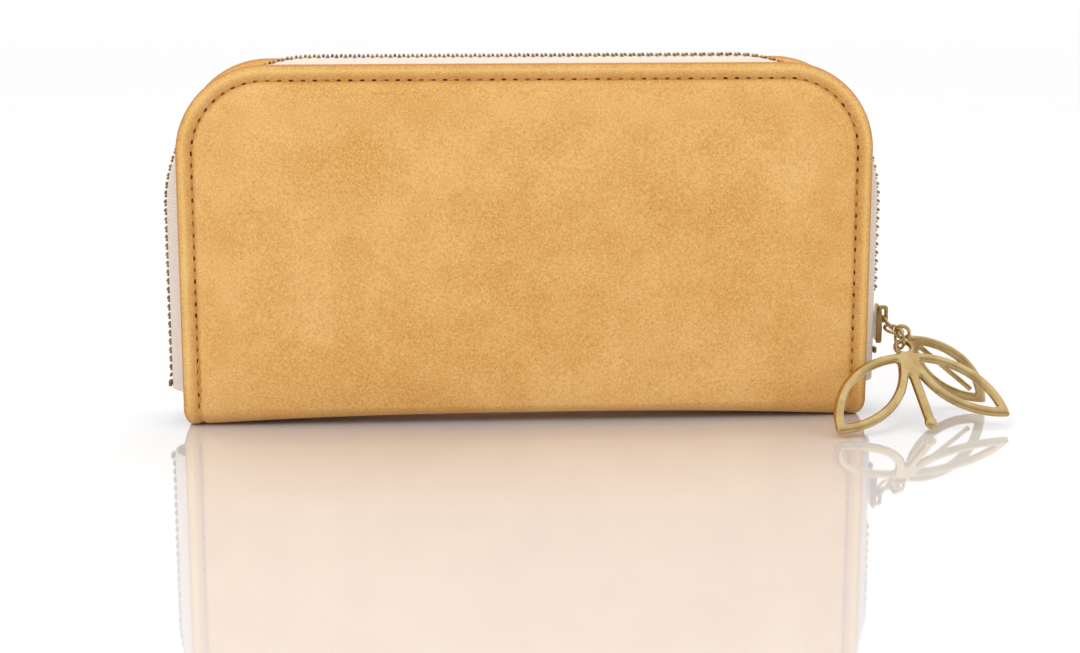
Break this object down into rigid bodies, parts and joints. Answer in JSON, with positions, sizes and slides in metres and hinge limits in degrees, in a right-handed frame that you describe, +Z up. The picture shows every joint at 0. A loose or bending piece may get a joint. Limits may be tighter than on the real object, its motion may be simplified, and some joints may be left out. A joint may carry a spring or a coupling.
{
  "type": "zip-around wallet",
  "caption": "Tan leather zip-around wallet standing on its spine, with a cream-taped metal zip, card slots and coin purse inside, and gold leaf charms on the slider.",
  "frame": {"origin": "on the supporting surface, under the middle of the spine's flat foot", "axes": "+Z up from the spine to the zip, +X along the spine towards the parked slider, -Y out of the front cover"},
  "size_m": [0.238, 0.0514, 0.1041],
  "materials": {
    "tan_leather": "soft nubuck grain",
    "slot_leather": "smooth thin leather",
    "zip_tape": "woven tape",
    "lining_cloth": "woven lining",
    "foam": "thin foam sheet",
    "stiff_board": "fibre board",
    "zip_metal": "plated teeth",
    "gold_plate": "polished pale gold plate"
  },
  "bodies": {
    "case": {"front_cover": "tan_leather", "front_foam": "foam", "front_board": "stiff_board", "front_lining": "lining_cloth", "front_slot_1": "slot_leather", "front_slot_2": "slot_leather", "front_slot_3": "slot_leather", "front_zip_tape": "zip_tape", "front_zip_teeth": "zip_metal", "front_gusset_left": "lining_cloth", "front_gusset_right": "lining_cloth", "spine": "tan_leather", "spine_lining": "lining_cloth", "zip_bottom_stop": "zip_metal", "zip_top_stop": "zip_metal"},
    "back_half": {"back_cover": "tan_leather", "back_foam": "foam", "back_board": "stiff_board", "back_lining": "lining_cloth", "back_slot_1": "slot_leather", "back_slot_2": "slot_leather", "back_slot_3": "slot_leather", "back_zip_tape": "zip_tape", "back_zip_teeth": "zip_metal", "back_gusset_left": "lining_cloth", "back_gusset_right": "lining_cloth"},
    "purse": {"purse_front_panel": "lining_cloth", "purse_back_panel": "lining_cloth", "purse_edge_strip": "lining_cloth", "purse_front_tape": "zip_tape", "purse_back_tape": "zip_tape", "purse_teeth": "zip_metal"},
    "purse_slider": {"purse_slider": "gold_plate"},
    "purse_puller": {"purse_puller": "gold_plate"},
    "slider": {"zip_slider": "gold_plate"},
    "ring_1": {"ring_1": "gold_plate"},
    "ring_2": {"ring_2": "gold_plate"},
    "ring_3": {"ring_3": "gold_plate"},
    "front_charm": {"front_charm": "gold_plate"},
    "rear_charm": {"rear_charm": "gold_plate"}
  },
  "joints": [
    {"name": "back_cover_hinge", "type": "hinge", "parent": "case", "child": "back_half", "pos_m": [0, 0.0095, 0.0025], "axis": [-1, 0, 0], "range_deg": [0, 60]},
    {"name": "purse_hinge", "type": "hinge", "parent": "case", "child": "purse", "pos_m": [0, 0.0095, 0.0025], "axis": [-1, 0, 0], "range_deg": [0, 30]},
    {"name": "purse_slider_travel", "type": "slide", "parent": "purse", "child": "purse_slider", "axis": [-1, 0, 0], "range_m": [0, 0.136]},
    {"name": "purse_puller_swing", "type": "hinge", "parent": "purse_slider", "child": "purse_puller", "pos_m": [0.068, 0, 0.0882], "axis": [0, -1, 0], "range_deg": [0, 120]},
    {"name": "slider_travel", "type": "slide", "parent": "case", "child": "slider", "axis": [0, 0, 1], "range_m": [0, 0.03]},
    {"name": "ring_1_swing", "type": "hinge", "parent": "slider", "child": "ring_1", "pos_m": [0.10425, 0, 0.02715], "axis": [0, -1, 0], "range_deg": [0, 35]},
    {"name": "ring_2_swing", "type": "hinge", "parent": "ring_1", "child": "ring_2", "pos_m": [0.10654, -0.00251, 0.02425], "axis": [-0.5766, -0.3669, 0.73], "range_deg": [0, 20]},
    {"name": "ring_3_swing", "type": "hinge", "parent": "ring_2", "child": "ring_3", "pos_m": [0.10776, -0.00647, 0.0231], "axis": [-0.9424, -0.3269, 0.071], "range_deg": [0, 25]},
    {"name": "front_charm_swing", "type": "hinge", "parent": "ring_3", "child": "front_charm", "pos_m": [0.10852, -0.00936, 0.01983], "axis": [-0.9903, -0.1392, 0], "range_deg": [0, 14]},
    {"name": "rear_charm_swing", "type": "hinge", "parent": "ring_2", "child": "rear_charm", "pos_m": [0.10963, -0.00375, 0.02347], "axis": [0.2549, -0.9513, -0.1736], "range_deg": [0, 34]}
  ],
  "couplings": [
    {"joint": "purse_hinge", "follows": "back_cover_hinge", "ratio": 0.5}
  ]
}
